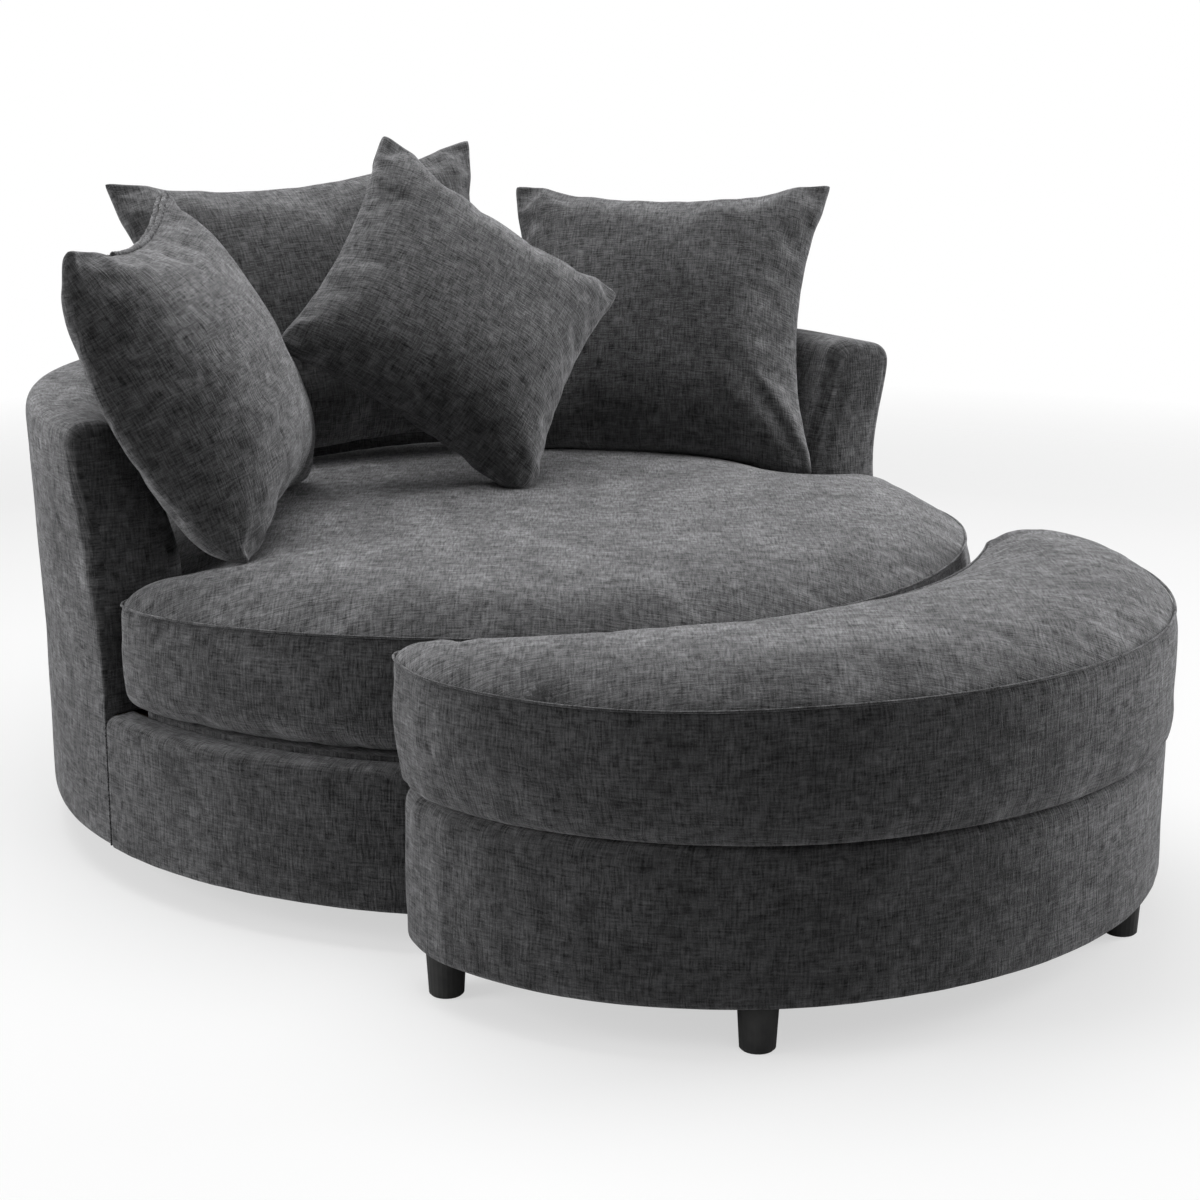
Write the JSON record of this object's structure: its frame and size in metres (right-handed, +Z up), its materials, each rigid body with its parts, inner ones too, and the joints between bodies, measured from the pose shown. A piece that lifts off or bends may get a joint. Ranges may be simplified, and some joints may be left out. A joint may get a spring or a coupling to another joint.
{
  "type": "swivel accent chair",
  "caption": "Round swivel lounge chair in charcoal cloth with loose pillows and a matching crescent storage ottoman.",
  "frame": {"origin": "on the floor, where the chair's swivel axis meets it, at the middle of the base's underside", "axes": "+Z up, -Y the chair's front where the ottoman stands, +X to the sitter's left"},
  "size_m": [1.3114, 1.6738, 0.8919],
  "materials": {
    "charcoal_cloth": "matte chenille",
    "card": "plain",
    "wood": "sawn",
    "webbing": "woven",
    "black_cloth": "matte",
    "steel": "zinc plated",
    "leg_black": "satin black",
    "glide": "matte"
  },
  "bodies": {
    "standing_base": {"floor_pad": "glide", "plinth": "wood", "swivel_lower_plate": "steel", "lower_plate_screw_1": "steel", "lower_plate_screw_2": "steel", "lower_plate_screw_3": "steel", "lower_plate_screw_4": "steel", "swivel_ball_ring": "steel", "ottoman_floor": "wood", "ottoman_dust_cloth": "black_cloth", "ottoman_lining": "black_cloth", "ottoman_inner_wall": "wood", "ottoman_outer_wall": "wood", "ottoman_cover": "charcoal_cloth", "ottoman_leg_1": "leg_black", "ottoman_leg_2": "leg_black", "ottoman_leg_3": "leg_black", "ottoman_leg_4": "leg_black"},
    "chair": {"wall_cover": "charcoal_cloth", "inner_wall_pad": "charcoal_cloth", "arm_front_right": "charcoal_cloth", "arm_front_left": "charcoal_cloth", "front_cover": "charcoal_cloth", "seat_deck": "charcoal_cloth", "seat_cushion": "charcoal_cloth", "pillow_left": "charcoal_cloth", "pillow_back": "charcoal_cloth", "pillow_centre": "charcoal_cloth", "pillow_right": "charcoal_cloth", "wall_liner": "card", "bottom_hoop": "wood", "seat_hoop": "wood", "top_rail": "wood", "front_beam": "wood", "rear_beam": "wood", "back_post_1": "wood", "back_post_2": "wood", "back_post_3": "wood", "back_post_4": "wood", "back_post_5": "wood", "base_post_1": "wood", "base_post_2": "wood", "base_post_3": "wood", "base_post_4": "wood", "seat_webbing": "webbing", "chair_dust_cloth": "black_cloth", "swivel_upper_plate": "steel", "upper_plate_screw_1": "steel", "upper_plate_screw_2": "steel", "upper_plate_screw_3": "steel", "upper_plate_screw_4": "steel"},
    "ottoman_lid": {"lid_board": "wood", "lid_cushion": "charcoal_cloth", "outer_lid_cleat": "wood", "inner_lid_cleat": "wood"}
  },
  "joints": [
    {"name": "chair_swivel", "type": "hinge", "parent": "standing_base", "child": "chair", "pos_m": [0, 0, 0.04], "axis": [0, 0, 1], "continuous": true},
    {"name": "lid_lift", "type": "slide", "parent": "standing_base", "child": "ottoman_lid", "axis": [0, 0, 1], "range_m": [0, 0.3]}
  ]
}
